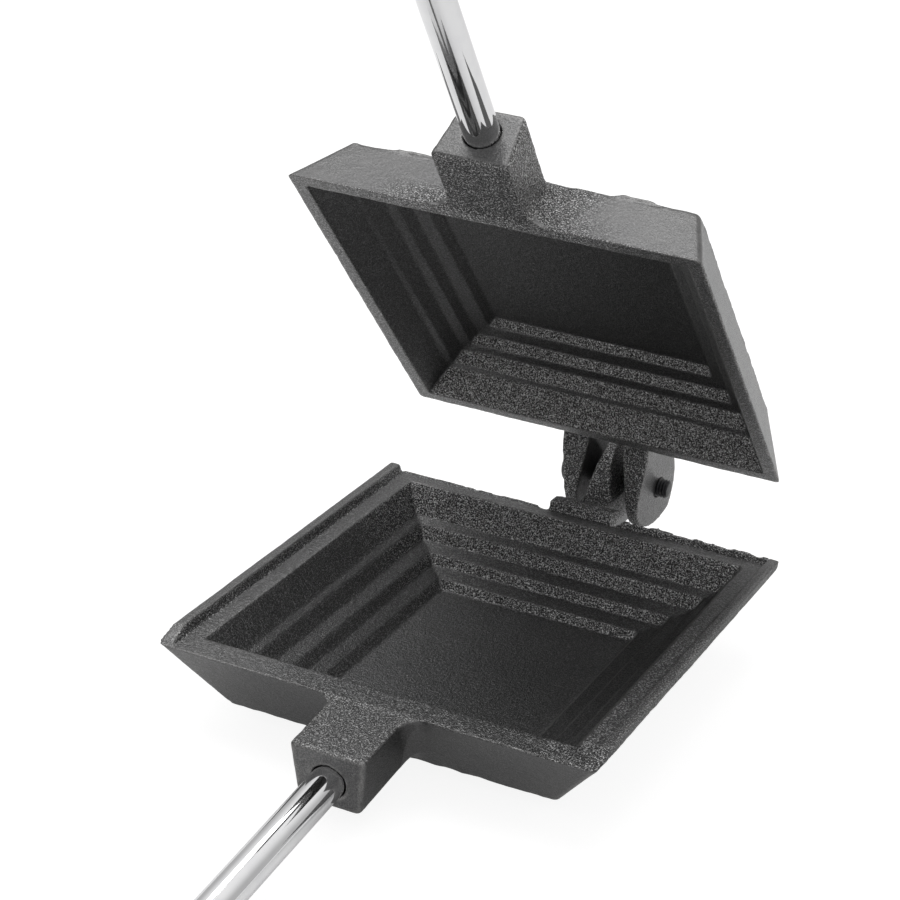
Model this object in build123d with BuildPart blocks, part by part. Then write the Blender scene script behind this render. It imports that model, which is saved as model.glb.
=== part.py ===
from build123d import *
import os
from math import cos, radians, sin

os.makedirs("parts", exist_ok=True)

# Camp pie iron: two cast pans hinged behind, each on a long steel rod with a turned
# wooden grip, and a latch that holds the grips together.
#
# Frame, in millimetres: the origin is the middle of the lower pan's flat foot, +Z is
# up, +Y points at the hinge and the handles run towards -Y. Every upper piece is
# drawn as it lies with the iron shut, then swung open about the hinge screw.

# ---- driving dimensions ---------------------------------------------------------

open_angle = 48.7           # how far the upper half is swung up from shut

# lower pan
pan_width = 108.0           # over the side lips
pan_length = 109.0          # handle edge to hinge edge of the rim
pan_height = 20.5           # foot to rim
foot_width = 55.0
foot_length = 62.0
wall_drop = 16.3            # rim down to the edge where the belly begins
side_run = 12.7             # how far the side walls lean in over that drop
end_run = 9.4               # the same for the handle and hinge walls
lip_height = 2.2
lip_top = 2.6               # flat on top of the lip
lip_lean = 0.9              # its inner face leans out by this much
lip_end = 7.0               # length of the slope that ends a lip at the handle edge

# upper pan
rim_gap = 0.2               # between the two rims when shut
lip_clearance = 0.5         # between the upper rim and a lip, each side
upper_setback = 3.6         # its handle edge lies this far behind the lower one
upper_rear_inset = 0.3      # and its hinge edge this far before the lower one
upper_drop = 15.2
upper_run = 7.3             # all four walls

# cavities, the same opening in both pans
cavity_width = 92.4
cavity_front = 7.3          # rim land left at the handle edge of the lower pan
cavity_rear = 3.9           # and at its hinge edge
band_drops = (6.6, 3.2, 2.4, 2.2)
band_runs = (4.4, 1.9, 1.5, 1.6)
ledge_drop = 0.9
lower_ledges = (2.5, 4.1, 4.2)
upper_ledges = (1.5, 2.6, 3.8)
cavity_round = 0.5
cast_round = 0.8
corner_round = 1.6

# sockets for the rods
socket_length = 17.6
socket_top_width = 18.2
socket_foot_width = 15.4
socket_top = 2.2            # its top lies this far under the rim
socket_depth = 14.2
socket_root_round = 4.5
socket_edge_round = 1.6
bore_drop = 9.8             # rim down to the rod's centre at the socket's end
bore_depth = 24.0
rod_clearance = 0.15        # radial, the gap that shows round the rod
rod_splay = 6.0             # degrees that each rod leans away from the rims

# hinge
hinge_setback = 24.2        # behind the lower pan's hinge edge
hinge_rise = 1.6            # above the lower rim
block_width = 17.0
block_reach = 7.5           # behind the hinge edge
block_top_reach = 3.8       # the flat on top ends here and slopes down
block_rise = 2.3            # above the rim
block_bevel = 0.7           # its front face leans back by this much
block_under = 1.4           # its back edge lies this far under the rim
block_root = 4.0            # and it leaves the pan wall this far under the rim
tongue_radius = 12.4
tongue_foot_width = 6.4     # thickness at its lowest point
tongue_rim_width = 7.2      # level with the rim
tongue_top_width = 2.2
ear_radius = 11.0
ear_outer = 12.0            # outer face of an ear from the middle, at the hinge axis
ear_outer_foot = 10.1       # the same where the ear is lowest with the iron shut
ear_outer_top = 11.6
ear_inner = 4.3             # inner face, from just above the axis upwards
ear_inner_foot = 7.2
ear_inner_break = 3.5       # above the axis, where the inner face starts to lean
web_clearance = 2.3         # between the ears' webs and the top of the block when shut
screw_diameter = 5.0
screw_play = 0.06           # radial, in the ears and the tongue
screw_past_ear = 2.6        # how far the screw's tip stands out of the ear
screw_head_diameter = 9.0
screw_head_height = 3.0
screw_tip_bevel = 0.4

# rods and grips
rod_diameter = 8.0
splay_length = 54.0         # socket end to where the rod turns back
run_length = 335.0          # from there to the grip
rod_bend = 150.0
grip_bend = 300.0
grip_height = pan_height / 2
grip_length = 135.0
grip_diameter = 18.6
grip_waist = 15.6
grip_waist_station = 84.0   # behind the front of the grip
grip_butt = 16.4
grip_butt_round = 2.0
grip_bore_play = 0.1
ferrule_length = 15.0
ferrule_diameter = 16.4
ferrule_wall = 0.9
seat_play = 0.06            # between a grip and the metal pressed on it
washer_diameter = 12.0
washer_thickness = 1.2
nut_diameter = 10.6
nut_length = 8.0
nut_wall = 1.6              # over the end of the rod
nut_crown = 1.0             # bevel round its end

# latch
latch_station = 40.0        # behind the front of the grips
latch_band = 16.0           # straight stretch of the grip that the screw stands on
latch_thickness = 1.6
latch_end_radius = 6.0
latch_play = 0.3            # sideways, under the screw's head
pivot_play = 0.07           # radial
catch_play = 0.35           # radial, round the catch screw
thumb_reach = 11.0          # from the catch to the thumb tab's end
thumb_radius = 3.0
thumb_lean = 40.0           # degrees, towards the pans
stud_diameter = 4.2
stud_head_diameter = 8.0
stud_head_height = 1.8
stud_collar_diameter = 7.0
stud_collar_height = 0.8
stud_pilot_diameter = 3.0
stud_pilot_length = 5.0
pilot_play = 0.2            # round the pilot, in the wood

# ---- places that follow ---------------------------------------------------------

hinge_y = pan_length / 2 + hinge_setback
hinge_z = pan_height + hinge_rise
rod_radius = rod_diameter / 2
grip_front = -pan_length / 2 - socket_length - splay_length - run_length
grip_end = grip_front - grip_length
splay_start = (-pan_length / 2 - socket_length, pan_height - bore_drop)
splay_end = (
    splay_start[0] - splay_length * cos(radians(rod_splay)),
    splay_start[1] - splay_length * sin(radians(rod_splay)),
)

# each half has its own frame: origin under its foot, local +Z towards its rim
lower_half = Plane.XY
shut_half = Plane(
    origin=(0, upper_setback, 2 * pan_height + rim_gap), x_dir=(-1, 0, 0), z_dir=(0, 0, -1)
)
swing = Location((0, hinge_y, hinge_z), (-open_angle, 0, 0)) * Location((0, -hinge_y, -hinge_z))
upper_half = Plane(swing * shut_half.location)


def placed(half, plane):
    """A plane given in a half's own frame, moved to where that half lies."""
    return Plane(half.location * plane.location)


def swung(plane):
    """A plane drawn with the iron shut, moved to where the open upper half has it."""
    return Plane(swing * plane.location)


# ---- pans -----------------------------------------------------------------------


def closed_outline(low, high, insets):
    """Up one side and down the other, from (inset, height) pairs."""
    up = [(high - inset, height) for inset, height in insets]
    down = [(low + inset, height) for inset, height in reversed(insets)]
    return up + down


def crossed(half, front_view, side_view):
    """The body with this outline from the front and that one from the side."""
    with BuildPart() as body:
        with BuildSketch(placed(half, Plane.XZ)):
            with BuildLine():
                Polyline(*front_view, close=True)
            make_face()
        extrude(amount=pan_length, both=True)
        with BuildSketch(placed(half, Plane.YZ)):
            with BuildLine():
                Polyline(*side_view, close=True)
            make_face()
        extrude(amount=pan_length, both=True, mode=Mode.INTERSECT)
    return body.part


def cavity_insets(ledges):
    """The stepped walls of a cavity from the rim down: a band, a ledge, a band..."""
    inset, height = 0.0, pan_height
    steps = [(inset, height)]
    for band_run, band_drop, ledge_run in zip(band_runs, band_drops, ledges + (0,)):
        inset, height = inset + band_run, height - band_drop
        steps.append((inset, height))
        if ledge_run:
            inset, height = inset + ledge_run, height - ledge_drop
            steps.append((inset, height))
    return steps


def cavity_solid(half, front, rear, ledges):
    """What the cavity removes, with its steps and mitres rounded."""
    steps = cavity_insets(ledges)
    across = closed_outline(-cavity_width / 2, cavity_width / 2, steps)
    along = closed_outline(front, rear, steps)
    with BuildPart() as hollow:
        add(crossed(half, across, along))
        below_rim = [
            edge
            for edge in hollow.edges()
            if half.to_local_coords(edge.center()).Z < pan_height - cavity_round
        ]
        fillet(below_rim, cavity_round)
    return hollow.part


def rounded_pan(half, front_view, side_view):
    """A pan's outside with its corners, belly and foot edges rounded as cast."""
    with BuildPart() as body:
        add(crossed(half, front_view, side_view))
        under_rim = [
            edge
            for edge in body.edges()
            if half.to_local_coords(edge.center()).Z < pan_height - cast_round
        ]
        leaning = [edge for edge in under_rim if abs(edge.tangent_at(0.5).dot(half.z_dir)) > 0.3]
        fillet(leaning, corner_round)
    return body.part


def socket_plane(half):
    """Square to the rod at the socket's end, facing into the pan, local +Y up."""
    inward = (0, cos(radians(rod_splay)), sin(radians(rod_splay)))
    return placed(half, Plane(origin=(0, *splay_start), x_dir=(-1, 0, 0), z_dir=inward))


def socket_solid(half):
    """The cast block that takes the rod: narrower at its foot, rounded below."""
    plane = socket_plane(half)
    top = bore_drop - socket_top
    with BuildPart() as block:
        with BuildSketch(plane):
            with BuildLine():
                Polyline(
                    (-socket_top_width / 2, top),
                    (socket_top_width / 2, top),
                    (socket_foot_width / 2, top - socket_depth),
                    (-socket_foot_width / 2, top - socket_depth),
                    close=True,
                )
            make_face()
        extrude(amount=socket_length + end_run)
        lengthwise = block.edges().filter_by(Axis(plane.origin, plane.z_dir))
        fillet(lengthwise.sort_by(Axis(half.origin, half.z_dir))[:2], socket_edge_round)
        end_face = block.faces().sort_by(Axis(half.origin, half.y_dir))[0]
        fillet(end_face.edges(), cast_round)
    return block.part


def root_edges(part, half):
    """The two upright edges where the socket's sides meet the handle wall."""
    found = []
    for edge in part.edges():
        middle = half.to_local_coords(edge.center())
        beside_socket = abs(abs(middle.X) - socket_top_width / 2) < socket_top_width / 6
        on_wall = abs(middle.Y + pan_length / 2 - end_run / 2) < end_run
        if beside_socket and on_wall and edge.length > socket_depth / 2:
            found.append(edge)
    return found


def over_rim(half):
    """What would stand above the rim where the socket runs up into the handle wall."""
    with BuildPart() as slab:
        with BuildSketch(half.offset(pan_height)):
            with Locations((0, -pan_length / 2)):
                Rectangle(2 * socket_top_width, 2 * end_run)
        extrude(amount=socket_depth)
    return slab.part


def bore_solid(half):
    """The round hole for the rod, along the splayed axis."""
    with BuildPart() as hole:
        with BuildSketch(socket_plane(half)):
            Circle(rod_radius + rod_clearance)
        extrude(amount=bore_depth)
    return hole.part


lip_foot = lip_top + lip_lean
upper_width = pan_width - 2 * (lip_foot + lip_clearance)
upper_front = -pan_length / 2
upper_rear_shut = pan_length / 2 - upper_rear_inset
upper_rear = upper_rear_shut - upper_setback
upper_length = upper_rear - upper_front

lower_socket = socket_solid(lower_half)
lower_bore = bore_solid(lower_half)
over_lower_rim = over_rim(lower_half)
lower_cavity = cavity_solid(
    lower_half, -pan_length / 2 + cavity_front, pan_length / 2 - cavity_rear, lower_ledges
)

with BuildPart() as tongue:
    with BuildSketch(Plane.YZ):
        with Locations((hinge_y, hinge_z)):
            Circle(tongue_radius)
        with BuildLine():
            Polyline(
                (pan_length / 2 - end_run, hinge_z - tongue_radius),
                (hinge_y, hinge_z - tongue_radius),
                (hinge_y, hinge_z),
                (pan_length / 2, pan_height),
                (pan_length / 2 - end_run, pan_height - wall_drop / 2),
                close=True,
            )
        make_face()
    extrude(amount=tongue_rim_width, both=True)
    # seen from the front it is widest level with the rim, where the mould parted
    with BuildSketch(Plane.XZ):
        with BuildLine():
            Polyline(
                (-tongue_foot_width / 2, hinge_z - tongue_radius),
                (tongue_foot_width / 2, hinge_z - tongue_radius),
                (tongue_rim_width / 2, pan_height),
                (tongue_top_width / 2, hinge_z + tongue_radius),
                (-tongue_top_width / 2, hinge_z + tongue_radius),
                (-tongue_rim_width / 2, pan_height),
                close=True,
            )
        make_face()
    extrude(amount=-(hinge_y + tongue_radius), mode=Mode.INTERSECT)

lower_pan_front = closed_outline(
    -pan_width / 2,
    pan_width / 2,
    [
        ((pan_width - foot_width) / 2, 0),
        (side_run, pan_height - wall_drop),
        (0, pan_height),
        (0, pan_height + lip_height),
        (lip_top, pan_height + lip_height),
        (lip_foot, pan_height),
    ],
)
# the lips slope off at the handle edge
lower_pan_side = [
    (-foot_length / 2, 0),
    (foot_length / 2, 0),
    (pan_length / 2 - end_run, pan_height - wall_drop),
    (pan_length / 2, pan_height),
    (pan_length / 2, pan_height + lip_height),
    (-pan_length / 2 + lip_end, pan_height + lip_height),
    (-pan_length / 2, pan_height),
    (-pan_length / 2 + end_run, pan_height - wall_drop),
]

with BuildPart() as lower_pan:
    add(rounded_pan(lower_half, lower_pan_front, lower_pan_side))
    # hinge block, its front at the rim's hinge edge
    with BuildSketch(Plane.YZ):
        with BuildLine():
            Polyline(
                (pan_length / 2, pan_height),
                (pan_length / 2 + block_bevel, pan_height + block_rise),
                (pan_length / 2 + block_top_reach, pan_height + block_rise),
                (pan_length / 2 + block_reach, pan_height + block_rise / 3),
                (pan_length / 2 + block_reach, pan_height - block_under),
                (pan_length / 2 - end_run / 3, pan_height - block_root),
                close=True,
            )
        make_face()
    extrude(amount=block_width / 2, both=True)
    add(tongue.part)
    add(lower_socket)
    fillet(root_edges(lower_pan.part, lower_half), socket_root_round)
    add(over_lower_rim, mode=Mode.SUBTRACT)
    add(lower_cavity, mode=Mode.SUBTRACT)
    add(lower_bore, mode=Mode.SUBTRACT)
    with BuildSketch(Plane.YZ):
        with Locations((hinge_y, hinge_z)):
            Circle(screw_diameter / 2 + screw_play)
    extrude(amount=tongue_rim_width, both=True, mode=Mode.SUBTRACT)
lower_pan.part.label = "lower_pan"
export_step(lower_pan.part, "parts/lower_pan.step")

upper_socket = socket_solid(upper_half)
upper_bore = bore_solid(upper_half)
over_upper_rim = over_rim(upper_half)
upper_cavity = cavity_solid(
    upper_half,
    -pan_length / 2 + cavity_front - upper_setback,
    pan_length / 2 - cavity_rear - upper_setback,
    upper_ledges,
)

# an ear's web clears the block when shut, then runs down at 45 degrees to the round end
web_foot = pan_height + block_rise + web_clearance
tangent_at = ear_radius * cos(radians(45))
web_corner = hinge_y - 2 * tangent_at - (web_foot - hinge_z)

with BuildPart() as ears:
    with BuildSketch(swung(Plane.YZ)):
        with Locations((hinge_y, hinge_z)):
            Circle(ear_radius)
        with BuildLine():
            Polyline(
                (upper_rear_shut - upper_run, web_foot),
                (web_corner, web_foot),
                (hinge_y - tangent_at, hinge_z - tangent_at),
                (hinge_y, hinge_z),
                (hinge_y, hinge_z + ear_radius),
                (upper_rear_shut - upper_run, hinge_z + ear_radius),
                close=True,
            )
        make_face()
    extrude(amount=2 * ear_outer, both=True)
    # seen from the front: the outer faces lean in above and below the hinge axis
    with BuildSketch(swung(Plane.XZ)):
        with BuildLine():
            Polyline(
                (ear_inner_foot, hinge_z - ear_radius),
                (ear_outer_foot, hinge_z - ear_radius),
                (ear_outer, hinge_z),
                (ear_outer_top, hinge_z + ear_radius),
                (ear_inner, hinge_z + ear_radius),
                (ear_inner, hinge_z + ear_inner_break),
                close=True,
            )
        make_face()
        mirror(about=Plane.YZ)
    extrude(amount=-(hinge_y + ear_radius), mode=Mode.INTERSECT)

upper_pan_front = closed_outline(
    -upper_width / 2,
    upper_width / 2,
    [
        ((upper_width - foot_width) / 2, 0),
        (upper_run, pan_height - upper_drop),
        (0, pan_height),
    ],
)
upper_pan_side = closed_outline(
    upper_front,
    upper_rear,
    [
        ((upper_length - foot_length) / 2, 0),
        (upper_run, pan_height - upper_drop),
        (0, pan_height),
    ],
)

with BuildPart() as upper_pan:
    add(rounded_pan(upper_half, upper_pan_front, upper_pan_side))
    add(ears.part)
    add(upper_socket)
    fillet(root_edges(upper_pan.part, upper_half), socket_root_round)
    add(over_upper_rim, mode=Mode.SUBTRACT)
    add(upper_cavity, mode=Mode.SUBTRACT)
    add(upper_bore, mode=Mode.SUBTRACT)
    with BuildSketch(swung(Plane.YZ)):
        with Locations((hinge_y, hinge_z)):
            Circle(screw_diameter / 2 + screw_play)
    extrude(amount=2 * ear_outer, both=True, mode=Mode.SUBTRACT)
upper_pan.part.label = "upper_pan"
export_step(upper_pan.part, "parts/upper_pan.step")

# ---- hinge screw ----------------------------------------------------------------

with BuildPart() as hinge_screw:
    with BuildSketch(swung(Plane.YZ.offset(-ear_outer))):
        with Locations((hinge_y, hinge_z)):
            Circle(screw_diameter / 2)
    extrude(amount=2 * ear_outer + screw_past_ear)
    with BuildSketch(swung(Plane.YZ.offset(-ear_outer))):
        with Locations((hinge_y, hinge_z)):
            Circle(screw_head_diameter / 2)
    extrude(amount=-screw_head_height)
    ends = hinge_screw.edges().filter_by(GeomType.CIRCLE).sort_by(Axis.X)
    fillet(ends[0], screw_head_height / 2)
    tip = hinge_screw.edges().filter_by(GeomType.CIRCLE).sort_by(Axis.X)[-1]
    chamfer(tip, screw_tip_bevel)
hinge_screw.part.label = "hinge_screw"
export_step(hinge_screw.part, "parts/hinge_screw.step")

# ---- rods, grips and what holds them ---------------------------------------------


def grip_plane(half):
    """At the front of the grip: local X runs down the grip, local Y across it."""
    front = Plane(origin=(0, grip_front, grip_height), x_dir=(0, -1, 0), z_dir=(1, 0, 0))
    return placed(half, front)


def turned(half, outline):
    """A body turned about the grip's axis, from points of (along, radius)."""
    plane = grip_plane(half)
    with BuildPart() as body:
        with BuildSketch(plane):
            with BuildLine():
                Polyline(*outline, close=True)
            make_face()
        revolve(axis=Axis(plane.origin, plane.x_dir))
    return body.part


def rod_solid(half):
    """The rod: splayed out of the socket, bent back, then straight through the grip."""
    inner_end = (
        splay_start[0] + bore_depth * cos(radians(rod_splay)),
        splay_start[1] + bore_depth * sin(radians(rod_splay)),
    )
    with BuildPart() as rod:
        with BuildLine(placed(half, Plane.YZ)) as route:
            FilletPolyline(
                inner_end,
                splay_end,
                (grip_front, grip_height),
                (grip_end - rod_past_grip, grip_height),
                radius=[rod_bend, grip_bend],
            )
        with BuildSketch(socket_plane(half).offset(bore_depth)):
            Circle(rod_radius)
        sweep(path=route.line)
    return rod.part


def grip_solid(half):
    """Turned grip: a tenon for the ferrule, a straight band, a waist and a rounded butt."""
    plane = grip_plane(half)
    start = ferrule_wall + seat_play
    bore = rod_radius + grip_bore_play
    tenon = ferrule_diameter / 2 - ferrule_wall - seat_play
    butt_start = grip_length - grip_butt_round
    butt_flat = grip_butt / 2 - grip_butt_round
    with BuildPart() as grip:
        with BuildSketch(plane):
            with BuildLine():
                Polyline(
                    (grip_length, butt_flat),
                    (grip_length, bore),
                    (start, bore),
                    (start, tenon),
                    (ferrule_length + seat_play, tenon),
                    (ferrule_length + seat_play, ferrule_diameter / 2),
                )
                Spline(
                    (ferrule_length + seat_play, ferrule_diameter / 2),
                    (latch_station - latch_band / 2, grip_diameter / 2),
                    tangents=[(1, 0.1), (1, 0)],
                )
                Line(
                    (latch_station - latch_band / 2, grip_diameter / 2),
                    (latch_station + latch_band / 2, grip_diameter / 2),
                )
                Spline(
                    (latch_station + latch_band / 2, grip_diameter / 2),
                    (grip_waist_station, grip_waist / 2),
                    (butt_start, grip_butt / 2),
                    tangents=[(1, 0), (1, 0)],
                )
                TangentArc((butt_start, grip_butt / 2), (grip_length, butt_flat), tangent=(1, 0))
            make_face()
        revolve(axis=Axis(plane.origin, plane.x_dir))
    return grip.part


def ferrule_points():
    """A cup: a thin front wall round the rod and a sleeve over the tenon."""
    outer, inner = ferrule_diameter / 2, ferrule_diameter / 2 - ferrule_wall
    hole = rod_radius + grip_bore_play
    return [
        (0, hole),
        (0, outer),
        (ferrule_length, outer),
        (ferrule_length, inner),
        (ferrule_wall, inner),
        (ferrule_wall, hole),
    ]


def washer_points():
    hole = rod_radius + grip_bore_play
    near, far = grip_length, grip_length + washer_thickness
    return [(near, hole), (near, washer_diameter / 2), (far, washer_diameter / 2), (far, hole)]


def nut_points():
    """A blind cap nut with a bevelled crown."""
    hole = rod_radius + screw_play
    near = grip_length + washer_thickness
    far = near + nut_length
    return [
        (near, hole),
        (near, nut_diameter / 2),
        (far - nut_crown, nut_diameter / 2),
        (far, nut_diameter / 2 - nut_crown),
        (far, 0),
        (far - nut_wall, 0),
        (far - nut_wall, hole),
    ]


rod_past_grip = washer_thickness + nut_length - nut_wall - seat_play

for side, half in (("lower", lower_half), ("upper", upper_half)):
    pieces = {
        "rod": rod_solid(half),
        "ferrule": turned(half, ferrule_points()),
        "washer": turned(half, washer_points()),
        "cap_nut": turned(half, nut_points()),
    }
    for kind, piece in pieces.items():
        piece.label = f"{side}_{kind}"
        export_step(piece, f"parts/{side}_{kind}.step")

# ---- latch ----------------------------------------------------------------------

# with the iron shut the catch stud on the lower grip lies straight under the pivot
latch_y = grip_front - latch_station
pivot_z = 2 * pan_height + rim_gap - grip_height
latch_drop = pivot_z - grip_height
collar_seat = grip_diameter / 2 + seat_play
collar_top = collar_seat + stud_collar_height
head_under = collar_top + latch_thickness + latch_play


def stud_plane(height):
    """On the middle plane, looking out along +X, at the latch."""
    return Plane(origin=(0, latch_y, height), x_dir=(0, 1, 1), z_dir=(1, 0, 0))


def stud_solid(plane):
    """A shouldered wood screw: pilot, collar, plain shank and round head."""
    with BuildPart() as stud:
        with BuildSketch(plane.offset(collar_seat - stud_pilot_length)):
            Circle(stud_pilot_diameter / 2)
        extrude(amount=stud_pilot_length)
        with BuildSketch(plane.offset(collar_seat)):
            Circle(stud_collar_diameter / 2)
        extrude(amount=stud_collar_height)
        with BuildSketch(plane.offset(collar_top)):
            Circle(stud_diameter / 2)
        extrude(amount=latch_thickness + latch_play)
        with BuildSketch(plane.offset(head_under)):
            Circle(stud_head_diameter / 2)
        extrude(amount=stud_head_height)
        outer_rim = stud.edges().filter_by(GeomType.CIRCLE).sort_by(Axis(plane.origin, plane.z_dir))
        fillet(outer_rim[-1], stud_head_height / 2)
    return stud.part


def stud_hole(plane):
    with BuildPart() as hole:
        with BuildSketch(plane.offset(collar_seat - stud_pilot_length - pilot_play)):
            Circle(stud_pilot_diameter / 2 + pilot_play)
        extrude(amount=stud_pilot_length + stud_collar_height)
    return hole.part


catch_plane = stud_plane(grip_height)
pivot_plane = swung(stud_plane(pivot_z))
studs = {"catch_stud": stud_solid(catch_plane), "pivot_stud": stud_solid(pivot_plane)}
for name, stud in studs.items():
    stud.label = name
    export_step(stud, f"parts/{name}.step")

for name, half, plane in (
    ("lower_grip", lower_half, catch_plane),
    ("upper_grip", upper_half, pivot_plane),
):
    wood = grip_solid(half)
    pilot = stud_hole(plane)
    with BuildPart() as grip:
        add(wood)
        add(pilot, mode=Mode.SUBTRACT)
    grip.part.label = name
    export_step(grip.part, f"parts/{name}.step")

# the hook hangs straight down from its pivot, whatever the upper half does
pivot_at = (swing * Location((0, latch_y, pivot_z))).position
hook_plane = Plane(
    origin=(collar_top + latch_play / 2, pivot_at.Y, pivot_at.Z), x_dir=(0, 1, 0), z_dir=(1, 0, 0)
)

thumb_across = thumb_reach * sin(radians(thumb_lean))
thumb_foot = -latch_drop - thumb_reach * cos(radians(thumb_lean))

with BuildPart() as latch_hook:
    with BuildSketch(hook_plane):
        Circle(latch_end_radius)
        with Locations((0, -latch_drop)):
            Circle(latch_end_radius)
        make_hull()
        with BuildSketch():
            with Locations((0, -latch_drop)):
                Circle(latch_end_radius)
            with Locations((thumb_across, thumb_foot)):
                Circle(thumb_radius)
            make_hull()
        Circle(stud_diameter / 2 + pivot_play, mode=Mode.SUBTRACT)
        slot = stud_diameter + 2 * catch_play
        with Locations((0, -latch_drop)):
            Circle(slot / 2, mode=Mode.SUBTRACT)
        with Locations((-latch_end_radius, -latch_drop)):
            Rectangle(2 * latch_end_radius, slot, mode=Mode.SUBTRACT)
    extrude(amount=latch_thickness)
latch_hook.part.label = "latch_hook"
export_step(latch_hook.part, "parts/latch_hook.step")
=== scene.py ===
import bmesh
import bpy
import math
import numpy as np
from mathutils import Matrix, Vector


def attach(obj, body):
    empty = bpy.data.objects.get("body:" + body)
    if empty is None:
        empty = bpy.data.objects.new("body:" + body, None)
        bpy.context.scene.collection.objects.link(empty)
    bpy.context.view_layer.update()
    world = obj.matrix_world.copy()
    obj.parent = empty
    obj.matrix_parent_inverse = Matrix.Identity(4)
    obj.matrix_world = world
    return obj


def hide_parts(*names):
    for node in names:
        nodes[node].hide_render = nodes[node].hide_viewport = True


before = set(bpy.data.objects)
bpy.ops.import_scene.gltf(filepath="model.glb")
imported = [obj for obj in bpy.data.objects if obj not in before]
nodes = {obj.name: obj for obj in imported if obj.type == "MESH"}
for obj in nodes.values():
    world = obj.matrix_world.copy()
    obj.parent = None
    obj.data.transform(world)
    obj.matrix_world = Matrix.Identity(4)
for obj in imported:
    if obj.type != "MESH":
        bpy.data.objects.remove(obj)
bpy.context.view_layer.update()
MM = 0.001

# Lengths below are millimetres in a half's own frame: origin under its foot, +Z towards
# its rim, +Y towards the hinge. A half's matrix takes them to metres in the scene.

# ---- sizes shared with the solids --------------------------------------------------

open_angle = 48.7
hinge_y, hinge_z = 78.7, 22.1
pan_width, pan_length, pan_height = 108.0, 109.0, 20.5
side_run, end_run, wall_drop = 12.7, 9.4, 16.3
rim_gap, upper_setback, upper_run, upper_drop = 0.2, 3.6, 7.3, 15.2
upper_width, upper_length = 100.0, 105.1
cavity_width, cavity_front, cavity_rear = 92.4, 7.3, 3.9
socket_length, bore_drop, bore_depth = 17.6, 9.8, 24.0
rod_splay, splay_length, rod_radius = 6.0, 54.0, 4.0
rod_bend, grip_bend = 150.0, 300.0
grip_front, grip_height, grip_length = -461.1, 10.25, 135.0
grip_radius, waist_radius, waist_station = 9.3, 7.8, 84.0
butt_radius, butt_round = 8.2, 2.0
ferrule_length, ferrule_radius, ferrule_wall = 15.0, 8.2, 0.9
grip_bore, seat_play = 4.1, 0.06
washer_radius, washer_thickness = 6.0, 1.2
nut_length, nut_wall, nut_bore = 8.0, 1.6, 4.06
rod_past_grip = 7.54
latch_station, latch_band = 40.0, 16.0
ear_outer, screw_past_ear, screw_radius = 12.0, 2.6, 2.5

half_width, half_length = pan_width / 2, pan_length / 2
belly = pan_height - wall_drop
foot_x, foot_y = half_width - side_run, half_length - end_run
upper_belly = pan_height - upper_drop
upper_x = upper_width / 2 - upper_run
upper_y = half_length - upper_run
upper_rear = upper_length - half_length

# ---- where the halves lie ----------------------------------------------------------

scale = Matrix.Diagonal((MM, MM, MM, 1))
about_hinge = Matrix.Translation((0, hinge_y, hinge_z))
swing = about_hinge @ Matrix.Rotation(math.radians(-open_angle), 4, "X") @ about_hinge.inverted()
shut_height = 2 * pan_height + rim_gap
shut = Matrix(((-1, 0, 0, 0), (0, 1, 0, upper_setback), (0, 0, -1, shut_height), (0, 0, 0, 1)))
lower_half = scale
upper_half = scale @ swing @ shut
halves = {"lower": lower_half, "upper": upper_half}


# ---- repeatable noise over points --------------------------------------------------


def lattice(cell, seed):
    """A number from -1 to 1 for each whole-number point, the same in every run."""
    mask = 0xFFFFFFFF
    mixed = (cell[:, 0] * 374761393 + cell[:, 1] * 668265263 + cell[:, 2] * 1440662683) & mask
    mixed = (mixed + seed * 974711) & mask
    mixed = ((mixed ^ (mixed >> 13)) * 1274126177) & mask
    mixed = ((mixed ^ (mixed >> 15)) * 668265263) & mask
    return (mixed ^ (mixed >> 16)) / 2**31 - 1


def noise(points, size, seed):
    """Smooth noise from about -1 to 1 whose lumps measure about size."""
    spot = np.asarray(points, float) / size + seed * 17.3
    cell = np.floor(spot).astype(np.int64)
    part = spot - cell
    part = part * part * (3 - 2 * part)
    total = np.zeros(len(spot))
    for corner in range(8):
        step = np.array([corner & 1, corner >> 1 & 1, corner >> 2])
        weight = np.prod(np.where(step, part, 1 - part), axis=1)
        total += weight * lattice(cell + step, seed)
    return total


def rise(values, start, end):
    """0 before start, 1 after end, smooth between. It falls where end is below start."""
    share = np.clip((np.asarray(values, float) - start) / (end - start), 0, 1)
    return share * share * (3 - 2 * share)


# ---- mesh helpers ------------------------------------------------------------------


def linked(name, mesh):
    """An object for a mesh, in the scene."""
    obj = bpy.data.objects.new(name, mesh)
    bpy.context.scene.collection.objects.link(obj)
    return obj


def piece(name, mesh, material, body, node, smooth_angle=35):
    """A finished piece that stands for a node, rides on its body and has its slot."""
    made = linked(name, mesh)
    mesh.materials.clear()
    mesh.materials.append(material)
    mesh.shade_smooth()
    if smooth_angle:
        mesh.set_sharp_from_angle(angle=math.radians(smooth_angle))
    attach(made, body)
    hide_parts(node)
    return made


def applied(obj):
    """The mesh of an object with its modifiers worked in; the object itself goes."""
    graph = bpy.context.evaluated_depsgraph_get()
    graph.update()
    mesh = bpy.data.meshes.new_from_object(obj.evaluated_get(graph))
    bpy.data.objects.remove(obj)
    return mesh


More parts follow.
